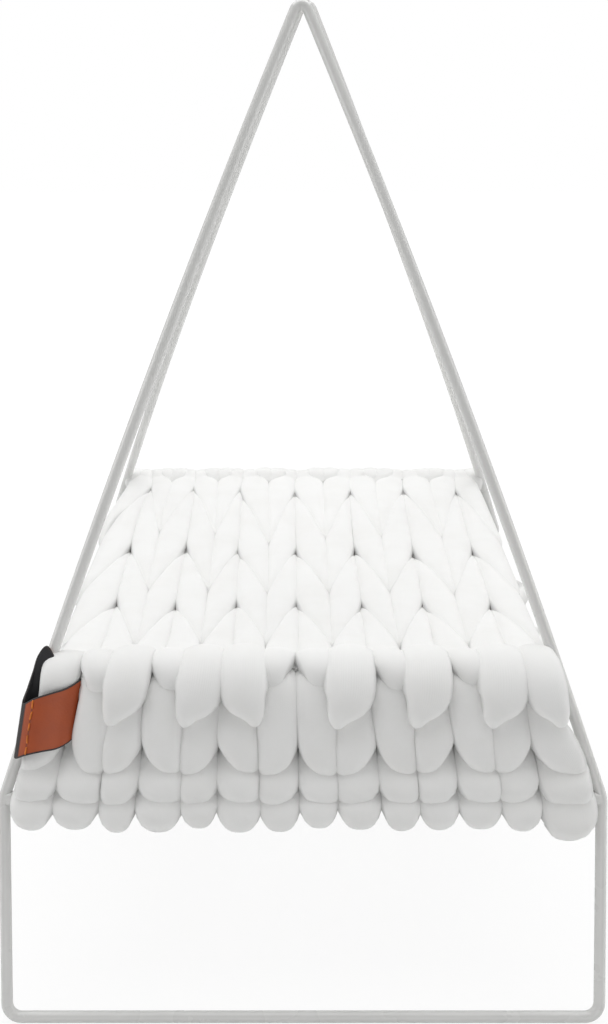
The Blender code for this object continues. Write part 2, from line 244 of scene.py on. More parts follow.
def lengths_along(points):
    """Length along a line of points up to each of them."""
    steps = np.linalg.norm(np.diff(points, axis=0), axis=1)
    return np.concatenate([[0], np.cumsum(steps)])


def read_at(spots, length, table):
    """Every column of a table of rows, read in between them at places along its length."""
    return np.stack([np.interp(spots, length, column) for column in table.T], axis=-1)


# The knit

# Middle of the knit seen from the side, in millimetres. In the drops, which it follows up in
# front and down at the back: up the loop's plane and out from it
FRONT_KNOTS = ((150, -4), (185, -2), (215, 0), (245, 3), (270, 7), (295, 12), (316, 14.5))
BACK_KNOTS = ((319, 8), (300, 8.5), (275, 5), (240, 1), (205, 0), (150, 0))
# Round the bar: degrees from upright towards the front, and millimetres from its axis
FOLD_KNOTS = ((40, 15), (8, 15.8), (-28, 16.5))
# In the bed: from the front to the back, and height
BED_KNOTS = (
    (-236, 295.5), (-205, 292), (-130, 289), (0, 287.5), (120, 288.2), (195, 290),
    (232, 290.5), (252, 293), (268, 295.8),
)

# Where the lines of the wales lie at places along the knit, from left to right: centre,
# boundary, centre and so on, in millimetres
WALE_LINES = np.array([
    (-280, -241, -196.5, -162, -117.5, -83, -41, -3, 34.5, 75.5, 112, 150, 191.5, 230, 279),
    (-269, -233, -190.5, -156, -116.7, -81.2, -42.7, -4.8, 32, 71.7, 108.3, 145, 183.2, 222.5, 269),
    (-261, -225, -186, -153, -116.1, -80, -43.9, -6, 30.2, 69, 105.7, 141.5, 177.4, 215, 249),
    (-245, -210.5, -178.7, -144.9, -110.3, -75.6, -41.9, -8.1,
     27.6, 63.2, 98.9, 134.5, 170.6, 206.5, 234.5),
    (-245, -205, -172, -138, -104.5, -71, -38.3, -5.5, 29.3, 64, 98.3, 132.5, 168.8, 205, 241),
    (-253, -217.5, -186, -149, -115, -83.5, -45, -11.5, 27, 62, 98.5, 136.5, 176, 210, 245),
    (-247, -215, -187, -155, -121, -87.5, -49, -12, 27, 65, 102, 139.5, 178, 215, 247),
    (-270, -231, -193, -154.5, -116, -77.5, -39, -0.5, 38, 76.5, 115, 153.5, 192, 230.5, 269),
]) / 1000
# Beyond these lines the knit curls under: millimetres left and right of the middle. The
# drops don't curl, so theirs lie past the knit
EDGES = np.array([
    (400, 400, 400, 246, 244, 242, 237, 400),
    (400, 400, 400, 240, 240, 240, 237, 400),
]) / 1000
WALES = (WALE_LINES.shape[1] + 1) // 2
CURL_RADIUS = 0.005
# The knit is pressed thinner where it is pulled tight over the back bar
THIN = (1, 1, 1, 1, 1, 1, 0.52, 1)
# Samples along the profile, and the numbers of those that end the front and the bed and
# begin the back, with some to spare
SAMPLES = 1600
FRONT_LAST, BED_LAST, BACK_FIRST = 800, 1250, 1150


def knit_profile():
    """The knit's middle line in the YZ plane, finely sampled, with length and normals."""
    front, back = (
        on_loop(0.0, *np.array(knots).T / 1000, end)[:, 1:]
        for knots, end in ((FRONT_KNOTS, FRONT), (BACK_KNOTS, BACK))
    )
    bar = on_loop(0.0, BED_BAR_UP, 0.0, FRONT)[1:]
    degrees, far = np.array(FOLD_KNOTS).T
    turn, far = np.radians(degrees), far / 1000
    fold = bar + np.stack([-np.sin(turn) * far, np.cos(turn) * far], axis=1)
    line = through(np.concatenate([front, fold, np.array(BED_KNOTS) / 1000, back]), per_span=24)
    length = lengths_along(line)
    even = np.linspace(0, length[-1], SAMPLES)
    line = read_at(even, length, line)
    along = normalized(np.gradient(line, axis=0))
    normal = np.stack([-along[:, 1], along[:, 0]], axis=1)
    return even, line, normal


PROFILE_V, PROFILE_LINE, PROFILE_NORMAL = knit_profile()
HIGHEST = int(np.argmax(PROFILE_LINE[:FRONT_LAST, 1]))


def v_at_loop(up, end):
    """Length along the knit's middle line at a height in a loop's plane."""
    part = slice(HIGHEST) if end == FRONT else slice(BACK_FIRST, None)
    y, z = PROFILE_LINE[part].T
    rise = (z - BAR_Z) * COS + (FOOT_Y - end * y) * SIN
    return float(np.interp(-end * up, -end * rise, PROFILE_V[part]))


def v_at_bed(y):
    """Length along the knit's middle line at a place in the bed."""
    part = slice(HIGHEST, BED_LAST)
    return float(np.interp(y, PROFILE_LINE[part, 0], PROFILE_V[part]))


# Where the columns of EDGES and THIN and the rows of WALE_LINES lie along the knit
WALE_V = np.array(
    [v_at_loop(up, FRONT) for up in (0.2, 0.25, 0.285)]
    + [v_at_bed(y) for y in (-0.262, -0.2, 0.15, 0.255)]
    + [v_at_loop(0.2, BACK)]
)


def lateral(u, v):
    """Sideways place of wale coordinate u (whole numbers are wale centres) at length v."""
    lines = read_at(v, WALE_V, WALE_LINES)
    index = np.clip(np.floor(2 * u).astype(int), 0, WALE_LINES.shape[1] - 2)
    rows = np.arange(len(u))
    low, high = lines[rows, index], lines[rows, index + 1]
    return low + (2 * u - index) * (high - low)


def slot_width(wale, right, v):
    """Room of a leg between its wale's centre line and the boundary beside it."""
    index = int(np.clip(2 * wale + right - 1, 0, WALE_LINES.shape[1] - 2))
    low, high = (np.interp(v, WALE_V, WALE_LINES[:, k]) for k in (index, index + 1))
    return high - low


def on_knit(x, v, w):
    """World points for knit coordinates: sideways, length along, depth outwards.

    Past the edge line the knit curls under: a half turn of CURL_RADIUS and then flat.
    Also gives the sideways and outward directions there.
    """
    places = read_at(v, PROFILE_V, PROFILE_LINE)
    normals = normalized(read_at(v, PROFILE_V, PROFILE_NORMAL))
    side = np.where(x < 0, -1.0, 1.0)
    edge = np.where(x < 0, np.interp(v, WALE_V, EDGES[0]), np.interp(v, WALE_V, EDGES[1]))
    beyond = np.maximum(np.abs(x) - edge, 0)
    turn = np.minimum(beyond / CURL_RADIUS, math.pi)
    tail = np.maximum(beyond - math.pi * CURL_RADIUS, 0)
    flat = np.minimum(np.abs(x), edge) + CURL_RADIUS * np.sin(turn) - tail
    cos, sin = np.cos(turn)[:, None], (side * np.sin(turn))[:, None]
    outward = np.hstack([sin, normals * cos])
    sideways = np.hstack([cos, normals * -sin])
    base = np.hstack([(side * flat)[:, None], places - normals * (CURL_RADIUS * (1 - cos))])
    return base + outward * w[:, None], sideways, outward


# One leg of a loop, from its sinker to its head. Columns: across from the boundary (0) to
# the wale's centre (1); where it is along the wale, as shares of its own rise, of the
# pitch and of the next rise, and in millimetres; depth in layers; half width; half depth; and
# the direction of the tube's wide side, sideways and outwards
PETAL = np.array([
    (0, 0, 0, 0, 10, -1.15, 0.75, 1.2, 0, -1),
    (0.45, 0, 0, 0, 10, -1.2, 0.72, 1.2, 0.3, -1),
    (0.86, 0, 0, 0, 10, -0.9, 0.62, 1.25, 1, -0.5),
    (0.97, 0, 0, 0, 10, -0.1, 0.52, 1.25, 1, 0),
    (0.92, 0.12, 0, 0, 8, 0.55, 0.52, 1.2, 1, 0),
    (0.8, 0.4, 0, 0, 2, 0.85, 0.7, 1.1, 1, 0),
    (0.64, 0.76, 0, 0, 0, 1, 0.92, 1.05, 1, 0),
    (0.53, 0.75, 0.25, 0, 0, 1, 1.12, 1, 1, 0),
    (0.5, 0.25, 0.75, 0, 0, 1, 1.15, 1, 1, 0),
    (0.47, 0, 1, 0.06, 0, 1, 1.08, 1, 1, 0),
    (0.36, 0, 1, 0.4, 0, 0.85, 0.86, 1.05, 1, 0),
    (0.21, 0, 1, 0.72, 0, 0.45, 0.64, 1.15, 1, 0),
    (0.14, 0, 1, 0.95, 4, -0.35, 0.56, 1.2, 1, 0),
    (0.28, 0, 1, 1, 10, -1.05, 0.65, 1.2, 0.6, 0.8),
    (0.65, 0, 1, 1, 10, -1.2, 0.72, 1.2, 0.2, 1),
    (1, 0, 1, 1, 10, -1.15, 0.75, 1.2, 0, 1),
])


def reshaped(leg, first, rows):
    """A leg with other rows from the first on: across, the shares, depth and half sizes."""
    leg = leg.copy()
    leg[first : first + len(rows), :8] = rows
    return leg


# A row of the hanging ends: rounder tips, and the top slides under the row above it
SKIRT = reshaped(PETAL, 1, [
    (0.4, 0, 0, 0, 12, -1.15, 0.78, 1.15),
    (0.7, 0, 0, 0, 12, -0.85, 0.62, 1.1),
    (0.78, 0, 0, 0, 9, 0.1, 0.52, 1.18),
    (0.76, 0.16, 0, 0, 8, 1.05, 0.6, 1.14),
    (0.66, 0.5, 0, 0, 4, 1.4, 0.84, 1.1),
    (0.55, 0.95, 0, 0, 2, 1.4, 1.06, 1.06),
    (0.51, 0.65, 0.35, 0, 0, 1.2, 1.12, 1.02),
    (0.5, 0.15, 0.85, 0, 0, 0.95, 1.12, 1),
    (0.49, 0, 1, 0.1, 3, 0.65, 1.1, 0.98),
    (0.47, 0, 1, 0.35, 6, 0.35, 1.04, 0.98),
    (0.45, 0, 1, 0.6, 10, -0.05, 0.98, 1),
    (0.44, 0, 1, 0.85, 13, -0.65, 0.86, 1.05),
    (0.55, 0, 1, 1, 12, -1.1, 0.78, 1.1),
    (0.75, 0, 1, 1, 10, -1.2, 0.75, 1.15),
    (1, 0, 1, 1, 8, -1.15, 0.75, 1.2),
])
# The same for rows that lie closely above one another, near a hem bar
BAND = reshaped(SKIRT, 1, [
    (0.35, 0, 0, 0, 14, -1.2, 0.8, 1.1),
    (0.58, 0, 0, 0, 13, -0.9, 0.72, 1.1),
    (0.67, 0, 0, 0, 9, 0.2, 0.66, 1.18),
    (0.66, 0, 0, 0, 12, 1.25, 0.74, 1.14),
    (0.6, 0, 0, 0, 16.5, 1.65, 0.92, 1.1),
    (0.54, 0, 0, 0, 22.5, 1.6, 1.06, 1.06),
    (0.51, 0, 1, 0, -3, 1.35, 1.12, 1.02),
    (0.5, 0, 1, 0, 2, 1.05, 1.12, 1),
    (0.49, 0, 1, 0, 7, 0.8, 1.1, 0.98),
    (0.47, 0, 1, 0, 13, 0.5, 1.06, 0.98),
    (0.45, 0, 1, 0, 20, 0.05, 0.96, 1),
    (0.44, 0, 1, 0, 27, -0.6, 0.84, 1.05),
    (0.55, 0, 1, 0, 30, -1.15, 0.78, 1.1),
    (0.75, 0, 1, 0, 28, -1.25, 0.75, 1.15),
    (1, 0, 1, 0, 26, -1.25, 0.75, 1.2),
])
# The first row: each leg wraps the hem bar in a round lobe of its own
HEM = reshaped(BAND, 0, [
    (0, 0, 0, 0, 26, -1.4, 0.8, 1.1),
    (0.3, 0, 0, 0, 22, -1.6, 0.86, 1.05),
    (0.47, 0, 0, 0, 12, -1.5, 0.82, 1.05),
    (0.5, 0, 0, 0, 8.5, 0, 0.66, 1.25),
    (0.5, 0, 0, 0, 11.5, 1.5, 0.82, 1.15),
    (0.5, 0, 0, 0, 18, 1.65, 1.02, 1.08),
    (0.5, 0, 0, 0, 24, 1.5, 1.12, 1.04),
    (0.5, 0, 1, 0, 2, 1.3, 1.14, 1.02),
    (0.5, 0, 1, 0, 6, 1.1, 1.14, 1),
    (0.49, 0, 1, 0, 11, 0.85, 1.12, 0.98),
    (0.47, 0, 1, 0, 16, 0.5, 1.06, 0.98),
    (0.45, 0, 1, 0, 22, 0, 0.96, 1),
    (0.44, 0, 1, 0, 28, -0.75, 0.84, 1.05),
])
# The row before the last: it ends inside the fold of the last one
BEFORE_LAST = reshaped(BAND, 9, [
    (0.49, 0, 1, 0, 6, 0.8, 1.1, 0.98),
    (0.47, 0, 1, 0, 11, 0.45, 1.06, 0.9),
    (0.45, 0, 1, 0, 14, -0.05, 0.9, 0.8),
    (0.47, 0, 1, 0, 14, -0.6, 0.75, 0.75),
    (0.56, 0, 1, 0, 12, -0.9, 0.65, 0.75),
    (0.75, 0, 1, 0, 10, -0.95, 0.6, 0.75),
    (1, 0, 1, 0, 9, -0.9, 0.6, 0.75),
])
# The last row: it wraps the other hem bar and ends in a plain edge behind
CAST_OFF = reshaped(BAND, 0, [
    (0, 0, 0, 0, 6, -1.15, 0.75, 1.1),
    (0.35, 0, 0, 0, 8, -1.2, 0.8, 1.05),
    (0.58, 0, 0, 0, 6, -0.8, 0.72, 1.05),
    (0.64, 0, 0, 0, 2, 0.3, 0.7, 1.1),
    (0.62, 0, 0, 0, 4, 1.25, 0.82, 1.08),
    (0.56, 0, 0, 0, 7, 1.6, 0.96, 1.06),
    (0.52, 0, 0, 0, 11, 1.7, 1.06, 1.04),
    (0.51, 0, 1, 0, -10.5, 1.65, 1.1, 1.02),
    (0.5, 0, 1, 0, -6, 1.45, 1.09, 1.02),
    (0.5, 0, 1, 0, -1, 0.95, 1.06, 1.04),
    (0.5, 0, 1, 0, 1.5, 0, 1, 1.06),
    (0.5, 0, 1, 0, -3, -1.5, 0.95, 1.02),
    (0.55, 0, 1, 0, -12, -1.6, 0.9, 1),
    (0.66, 0, 1, 0, -17, -1.5, 0.85, 1.05),
    (0.82, 0, 1, 0, -18, -1.45, 0.8, 1.1),
    (1, 0, 1, 0, -18, -1.4, 0.78, 1.15),
])
# The row that hangs over the fold: a long leg that swells over its short neighbour
LONG_TOOTH = reshaped(PETAL, 1, [
    (0.55, 0, 0, 0, 14, -1.1, 0.72, 1.15),
    (0.88, 0, 0, 0, 12, -0.5, 0.56, 1.15),
    (0.94, 0, 0, 0, 9, 0.6, 0.42, 1.25),
    (0.92, 0.16, 0, 0, 8, 1.35, 0.54, 1.2),
    (0.8, 0.45, 0, 0, 4, 1.75, 0.94, 1.18),
    (0.6, 0.8, 0, 0, 0, 1.85, 1.38, 1.15),
    (0.54, 0.85, 0.15, 0, 0, 1.5, 1.34, 1.08),
    (0.51, 0.4, 0.6, 0, 0, 1.05, 1.16, 1.02),
])
SHORT_TOOTH = reshaped(PETAL, 1, [
    (0.4, 0, 0, 0, 6, -0.6, 0.75, 1),
    (0.62, 0, 0, 0, 9, 0.2, 0.8, 1),
    (0.7, 0, 0, 0, 10, 0.9, 0.78, 1.05),
    (0.68, 0, 0, 0, 13, 1.25, 0.84, 1.05),
    (0.58, 0, 0, 0, 18, 1.3, 1, 1.05),
    (0.5, 0, 0, 0, 25, 1.2, 1.12, 1.05),
    (0.5, 0.5, 0.25, 0, 0, 1.05, 1.16, 1.02),
])
# The strand that runs down through the label, the one behind its front, and the next one
IN_LABEL = reshaped(PETAL, 1, [
    (0.4, 0, 0, 0, 14, -1.1, 0.75, 0.95),
    (0.5, 0, 0, 0, 10, -0.75, 0.78, 0.85),
    (0.52, 0, 0, 0, 7, -0.1, 0.8, 0.85),
    (0.52, 0, 0, 0, 14, 0.05, 0.85, 0.78),
    (0.52, 0, 0, 0, 24, 0.05, 0.9, 0.76),
    (0.51, 0, 0, 0, 36, 0.2, 1, 0.84),
    (0.5, 0, 0.38, 0, 0, 0.75, 1.12, 0.95),
    (0.5, 0, 0.62, 0, 0, 1, 1.15, 1),
])
UNDER_LABEL = reshaped(SKIRT, 4, [
    (0.72, 0.16, 0, 0, 8, 0.75, 0.66, 1.1),
    (0.62, 0.5, 0, 0, 4, 0.75, 0.86, 0.95),
    (0.54, 0.95, 0, 0, 0, 0.5, 1, 0.85),
    (0.51, 0.65, 0.35, 0, 0, 0.4, 1.04, 0.8),
    (0.5, 0.15, 0.85, 0, -2, 0, 1, 0.8),
    (0.49, 0, 1, 0, -2, -0.45, 0.95, 0.85),
    (0.47, 0, 1, 0, 2, -0.9, 0.9, 0.95),
    (0.5, 0, 1, 0, 6, -1.1, 0.85, 1),
    (0.55, 0, 1, 0, 8, -1.2, 0.8, 1.05),
    (0.65, 0, 1, 0, 10, -1.25, 0.78, 1.1),
    (0.8, 0, 1, 0, 10, -1.25, 0.75, 1.15),
    (1, 0, 1, 0, 8, -1.2, 0.75, 1.2),
])
BESIDE_LABEL = reshaped(SKIRT, 5, [
    (0.7, 0.5, 0, 0, 4, 1.25, 0.78, 1.05),
    (0.62, 0.95, 0, 0, 2, 1.15, 0.94, 1),
    (0.62, 0.65, 0.35, 0, 0, 0.95, 0.92, 0.98),
    (0.61, 0.15, 0.85, 0, 0, 0.7, 0.9, 0.96),
    (0.6, 0, 1, 0.1, 3, 0.45, 0.9, 0.96),
    (0.57, 0, 1, 0.35, 6, 0.2, 0.92, 0.98),
])

# Depth of one layer of the tube, its length round, how full its section is (2 is an ellipse),
# and where the painted shade on its creased sides begins, from its middle (0) to its edge (1)
LAYER = 0.0098
TUBE_GIRTH = 0.09
FULLNESS = 2.2
CREASE_SHADE_FROM = 0.82
# How far a leg strays: aside as a share of its room, in depth, and in width as a share
STRAY_ASIDE = 0.03
STRAY_DEPTH = 0.0008
STRAY_WIDTH = (-0.02, 0.03)
# The square of the share to which a tube shrinks at its ends
END_LEAST = 0.0004

# Tips of the rows that show in the bed, for each wale: millimetres back from the middle
BED_TIPS = (
    (-207, -207, -206, -207, -209, -208, -208, -207),
    (-83, -81, -81, -88, -86, -86, -90, -88),
    (64, 72, 69, 44, 53, 59, 57, 55),
)


def knit_rows():
    """Every row from the front hem to the back hem: piece, shapes, tips and rises of legs."""
    rng = np.random.default_rng(11)
    count = 2 * WALES

    def level(v, jitter=0.0015):
        return v + rng.uniform(-jitter, jitter, count)

    def in_bed(row):
        """Tips of a row in the bed, each up to 1/900 m off."""
        tips = np.repeat([v_at_bed(y / 1000) for y in BED_TIPS[row]], 2)
        return tips + rng.uniform(-1, 1, count) / 900

    def rises(size, jitter=0.06):
        return size * (1 + rng.uniform(-jitter, jitter, count))

    # A wale's right leg is the long one, the fourth wale's left one is, and the last has two
    long = np.array([False, True] * WALES)
    long[6], long[7], long[14] = True, False, True
    teeth = [LONG_TOOTH if is_long else SHORT_TOOTH for is_long in long]
    teeth[1] = IN_LABEL
    tooth_tips = np.where(long, v_at_loop(0.287, FRONT), v_at_loop(0.316, FRONT))
    tooth_rises = np.where(long, 0.038, 0.012)
    skirt = [SKIRT] * count
    skirt[1] = UNDER_LABEL
    skirt[2] = BESIDE_LABEL
    hem_tips = level(v_at_loop(0.1855, FRONT), 0.0025)
    # One lobe of the hem hangs lower than the rest
    hem_tips[14] -= 0.0085
    rows = [
        ("front", [HEM] * count, hem_tips, rises(0.008)),
        ("front", [BAND] * count, level(v_at_loop(0.208, FRONT)), rises(0.016)),
        ("front", skirt, level(v_at_loop(0.2365, FRONT)), rises(0.034, 0.15)),
        ("front", teeth, level(tooth_tips), tooth_rises),
        ("bed", [PETAL] * count, in_bed(0), rises(0.1)),
        ("bed", [PETAL] * count, in_bed(1), rises(0.116)),
        ("bed", [PETAL] * count, in_bed(2), rises(0.172, 0.03)),
    ]
    for leg, up, size in (
        (PETAL, 0.322, 0.045),
        (SKIRT, 0.28, 0.022),
        (BEFORE_LAST, 0.25, 0.016),
        (CAST_OFF, 0.222, 0.012),
    ):
        rows.append(("back", [leg] * count, level(v_at_loop(up, BACK)), rises(size)))
    # Not a row of its own: it only says where the last one ends
    rows.append((None, None, level(v_at_loop(0.1965, BACK), 0.001), rises(0.01)))
    return rows


def course_controls(row, above, rng, thickness):
    """Control rows of one course: sideways, along, depth, half width, half depth, wide side."""
    own, shapes, tips, rises = row
    piece, _, next_tips, next_rises = above
    # The two outermost legs are there only in the bed, in all but its last course
    first, last = (0, 2 * WALES) if own == piece == "bed" else (1, 2 * WALES - 1)
    legs = []
    for number in range(first, last):
        wale, right = divmod(number, 2)
        leg = shapes[number]
        bulge = np.sin(np.linspace(0, math.pi, len(leg)))
        across = leg[:, 0] + rng.uniform(-STRAY_ASIDE, STRAY_ASIDE) * bulge
        offset = 0.5 * (1 - across)
        u = wale + offset if right else wale - offset
        pitch = next_tips[number] - tips[number]
        v = tips[number] + leg[:, 1] * rises[number] + leg[:, 2] * pitch
        v = v + leg[:, 3] * next_rises[number] + leg[:, 4] / 1000
        thin = np.interp(v, WALE_V, THIN)
        w = (leg[:, 5] * LAYER + rng.uniform(-STRAY_DEPTH, STRAY_DEPTH) * bulge) * thin
        half_slot = slot_width(wale, right, v) / 2
        half_wide = leg[:, 6] * half_slot * (1 + rng.uniform(*STRAY_WIDTH))
        half_deep = leg[:, 7] * thickness / 2 * thin
        x = lateral(u, v)
        aside = leg[:, 8] * (-1 if right else 1)
        rows = np.stack([x, v, w, half_wide, half_deep, aside, leg[:, 9]], axis=1)
        legs.append(rows[::-1] if right else rows)
    joined = [legs[0]]
    for before, after in zip(legs[:-1], legs[1:]):
        middle = (before[-1] + after[0]) / 2
        joined[-1] = np.concatenate([joined[-1][:-1], middle[None]])
        joined.append(after[1:])
    return np.concatenate(joined)


def course_tube(controls, step, sides):
    """The course's tube with rounded ends, UVs in metres along and round it, and a mask of painted
    shade on its creased sides.

    Rings stand every step along a B-spline of the controls. Near the ends they shrink by the
    square root of 1 - (1 - distance / half width) squared.
    """
    controls = np.concatenate([controls[:1]] * 2 + [controls] + [controls[-1:]] * 2)
    fine = bspline(controls, per_span=30)
    length = lengths_along(fine[:, :3])
    spots = np.linspace(0, length[-1], int(length[-1] / step))
    rows = read_at(spots, length, fine)
    path, sideways, outward = on_knit(rows[:, 0], rows[:, 1], rows[:, 2])
    across = rows[:, 5:6] * sideways + rows[:, 6:7] * outward
    ends = np.minimum(spots, length[-1] - spots) / rows[0, 3]
    rounding = np.sqrt(np.clip(1 - (1 - np.clip(ends, 0, 1)) ** 2, END_LEAST, 1))
    rings = tube(path, across, rows[:, 3] * rounding, rows[:, 4] * rounding, sides, FULLNESS)
    grid = rings.shape[:2]
    girth = np.arange(sides) / sides * TUBE_GIRTH
    uv = np.stack([np.broadcast_to(spots[:, None], grid), np.broadcast_to(girth, grid)], axis=-1)
    # Painted shade on the tube's creased sides, where they press on their neighbours: a mask that
    # rises towards the edge of the section
    beside = np.abs(np.cos(np.arange(sides) * 2 * math.pi / sides))
    crease_shade = np.clip((beside - CREASE_SHADE_FROM) / (1 - CREASE_SHADE_FROM), 0, 1) ** 1.5
    return rings, uv.reshape(-1, 2), np.broadcast_to(crease_shade, grid).ravel()


def knit_courses(settings):
    """Every course of the knit, grouped by piece."""
    rng = np.random.default_rng(5)
    rows = knit_rows()
    courses = {"front": [], "bed": [], "back": []}
    for row, above in zip(rows[:-1], rows[1:]):
        controls = course_controls(row, above, rng, settings.thickness)
        courses[row[0]].append(course_tube(controls, settings.ring_gap, settings.sides))
    return courses


# The leather label

# Its line round the strand, from the seam across the front and back behind, in millimetres
# from the corner where the bed bar meets the rod: to the right, forwards from the weld
# beads, and up the loop's plane to the lower and the upper edge
LABEL_OUTLINE = np.array([
    (-16.6, 14.2, -64.5, -12),
    (-3.6, 21.7, -60.5, -6),
    (11.4, 23.4, -57, -1),
    (26.4, 20.8, -54.5, 3.5),
    (36.9, 14.2, -49, 9.5),
    (39, 6, -44, 12),
    (31.4, 1.8, -38, 14),
    (16.4, 1.4, -25, 24),
    (4.6, 1.6, -15, 40.8),
    (-4.6, 3, -23, 32),
    (-9.1, 5.4, -37, 16.8),
    (-13.4, 8.7, -51, 1.9),
])
# Thickness of a weld bead, the label's shift to the right for its height, and half the width
# of the paint at its seam
WELD_THICK = 0.0018
LABEL_LEAN = 0.15
SEAM_PAINT = 0.0056
# How far each edge of the lining lies inside the leather's
LINING_SHORT = 0.0004
# Radius of the edges, as a share of the layer's thickness
EDGE_ROUND = 0.48
# Where the painted rim of an edge ends on the faces: full paint, and none
RIM_PAINT = (0.0009, 0.0013)
# Painted shade along the groove under the stitches, from its middle: where it is darkest and where
# it ends
GROOVE_SHADE = (0.0002, 0.0011)
STITCHES = 5
# How far a stitch stands out at its middle, and how much deeper its ends lie than that
STITCH_PROUD = 0.0006
STITCH_DIP = 0.0008


def inwards(along):
    """Directions to the right of a line's own, which is inwards on the label."""
    return np.stack([along[:, 1], -along[:, 0]], axis=1)


def label_line():
    """The label's closed line: sideways, out, lower and upper edge, and length along it."""
    corner = (-float(side_half(BED_BAR_UP)), ROD_RADIUS + WELD_THICK, BED_BAR_UP, BED_BAR_UP)
    line = through(np.array(corner) + LABEL_OUTLINE * 0.001, per_span=18, closed=True)
    steps = np.linalg.norm(np.roll(line[:, :2], -1, axis=0) - line[:, :2], axis=1)
    return line, np.concatenate([[0], np.cumsum(steps)[:-1]]), steps.sum()


def label_place(line, depth, up):
    """World points of the label at depths below its outside and heights up the loop."""
    along = np.roll(line[:, :2], -1, axis=0) - np.roll(line[:, :2], 1, axis=0)
    inward = inwards(normalized(along))
    middle = (line[:, 2] + line[:, 3])[:, None] / 2
    x = line[:, :1] + inward[:, :1] * depth + LABEL_LEAN * (up - middle)
    return on_loop(x, up, line[:, 1:2] + inward[:, 1:] * depth, FRONT)


def label_band(outer, thick, short, inset):
    """A closed band with rounded edges: rings round its section, station by station.

    The section runs up the outer face, over the top edge, down the inner face and back.
    The mask marks the painted edges, the seam, and painted shade along the groove under the
    stitches.
    """
    line, lengths, total = label_line()
    radius = thick * EDGE_ROUND
    turn = np.radians([0, 30, 60, 90])
    rims = np.array([0, *RIM_PAINT])
    share = np.linspace(0, 1, 7)[1:-1]
    low, high = line[:, 2:3] + short, line[:, 3:4] - short
    spans = np.hstack([
        low + radius + rims,
        low + radius + (high - low - 2 * radius) * share,
        high - radius - rims[::-1],
    ])
    up_arc = high - radius + radius * np.sin(turn)
    down_arc = low + radius - radius * np.sin(turn)
    ups = np.hstack([spans, up_arc, up_arc[:, ::-1], spans[:, ::-1], down_arc, down_arc[:, ::-1]])
    arc = radius * (1 - np.cos(turn))
    face = np.zeros(spans.shape[1])
    depth = outer + np.hstack([face, arc, thick - arc[::-1], face + thick, thick - arc, arc[::-1]])
    painted = [1.0, 1.0] + [0.0] * 7 + [1.0, 1.0]
    mask = np.array((painted + [1.0] * 8) * 2)
    seam = np.minimum(lengths, total - lengths)
    seam = np.interp(seam - SEAM_PAINT, (0, 0.0004), (1, 0))
    # Painted shade along the stitch groove, which the band's faces do not cut
    groove_shade = np.interp(np.abs(lengths - inset), GROOVE_SHADE, (0.6, 0))
    masks = np.maximum(mask[None, :], np.maximum(seam, groove_shade)[:, None])
    points = label_place(line, depth[None, :], ups)
    uv = np.stack([np.broadcast_to(lengths[:, None], ups.shape), ups], axis=-1)
    return points, uv.reshape(-1, 2), masks.ravel()


def stitch_threads(inset, thick):
    """Hand-sewn stitches over the groove, thinner at their ends, where they dip in.

    A stitch's depth is STITCH_DIP times the sixth power of its place from -1 to 1, less
    STITCH_PROUD. Each is a little off in height, length, place and slant.
    """
    line, lengths, _ = label_line()
    rng = np.random.default_rng(3)
    low, high = read_at(inset, lengths, line)[2:]
    pitch = (high - low) / STITCHES
    for number in range(STITCHES):
        middle = low + pitch * (number + 0.5 + rng.uniform(-0.06, 0.06))
        half = pitch * rng.uniform(0.34, 0.43)
        t = np.linspace(-1, 1, 18)
        aside = inset + rng.uniform(-0.0004, 0.0004) + rng.uniform(-0.0007, 0.0007) * t
        spots = read_at(aside, lengths, line)
        depth = STITCH_DIP * np.abs(t) ** 6 - STITCH_PROUD
        near = read_at(aside + 0.0004, lengths, line[:, :2])
        flat = spots[:, :2] + inwards(normalized(near - spots[:, :2])) * depth[:, None]
        up = middle + half * t
        x = flat[:, 0] + LABEL_LEAN * (up - (spots[:, 2] + spots[:, 3]) / 2)
        path = on_loop(x, up, flat[:, 1], FRONT)
        across = np.broadcast_to([1.0, 0.0, 0.0], path.shape)
        wide = thick / 2 * np.sqrt(np.clip(1 - np.abs(t) ** 4, 0.02, 1))
        yield number + 1, tube(path, across, wide, wide * 0.8, sides=12)


# Materials


def new_material(name):
    """A new material, its node tree and its Principled BSDF."""
    made = bpy.data.materials.new(name)
    made.use_nodes = True
    tree = made.node_tree
    return made, tree, tree.nodes["Principled BSDF"]


def link(source, output, target, socket):
    """Joins an output of one node to an input of another."""
    target.id_data.links.new(source.outputs[output], target.inputs[socket])


def give(node, **values):
    """Sets properties and input values of a node by name, and gives it back."""
    for key, value in values.items():
        if hasattr(node, key):
            setattr(node, key, value)
        else:
            node.inputs[key.replace("_", " ")].default_value = value
    return node


def add(tree, kind, **values):
    """A new shader node of a kind, with properties and input values."""
    return give(tree.nodes.new(f"ShaderNode{kind}"), **values)


def node_group(name, inputs, outputs):
    """An empty shader node group with named sockets, and its input and output nodes."""
    tree = bpy.data.node_groups.new(name, "ShaderNodeTree")
    for key, (kind, value) in inputs.items():
        socket = tree.interface.new_socket(key, in_out="INPUT", socket_type=f"NodeSocket{kind}")
        if value is not None:
            socket.default_value = value
    for key, kind in outputs.items():
        tree.interface.new_socket(key, in_out="OUTPUT", socket_type=f"NodeSocket{kind}")
    return tree, tree.nodes.new("NodeGroupInput"), tree.nodes.new("NodeGroupOutput")


def use_group(tree, maker, place, output, **values):
    """A node that uses a group, made once by its maker, at the places of another node."""
    name = maker.__name__.replace("_group", "")
    node = add(tree, "Group")
    node.node_tree = bpy.data.node_groups.get(name) or maker()
    link(place, output, node, "Vector")
    return give(node, **values)


